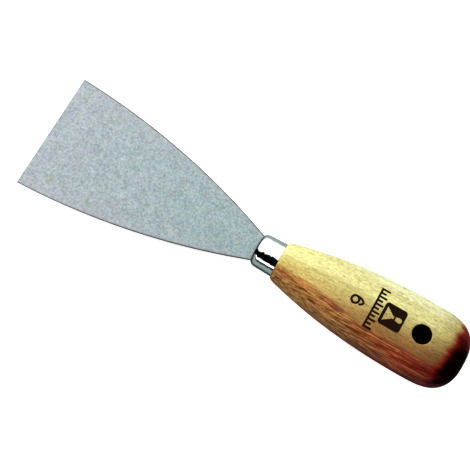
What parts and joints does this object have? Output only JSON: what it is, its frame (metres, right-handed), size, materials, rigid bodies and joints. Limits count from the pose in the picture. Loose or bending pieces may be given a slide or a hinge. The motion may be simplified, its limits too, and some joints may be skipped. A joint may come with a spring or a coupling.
{
  "type": "painter's stripping knife",
  "caption": "Painter's stripping knife: flared steel scraper blade, chromed ferrule and a swelling beech handle with a hanging hole, for scraping paint and spreading filler.",
  "frame": {"origin": "on the hanging hole's axis, halfway through the handle's thickness", "axes": "+X along the tool from the blade towards the butt, +Y across the blade, +Z out of the handle's marked face, along the hanging hole"},
  "size_m": [0.221, 0.06, 0.023],
  "materials": {
    "blade_steel": "matt rolled spring steel",
    "ferrule_chrome": "bright chromium plate on drawn steel",
    "bedding_resin": "cured filled resin",
    "handle_beech": "clear lacquered beech"
  },
  "bodies": {
    "root": {"blade": "blade_steel", "ferrule": "ferrule_chrome", "tang_bedding": "bedding_resin", "handle": "handle_beech"}
  },
  "joints": []
}
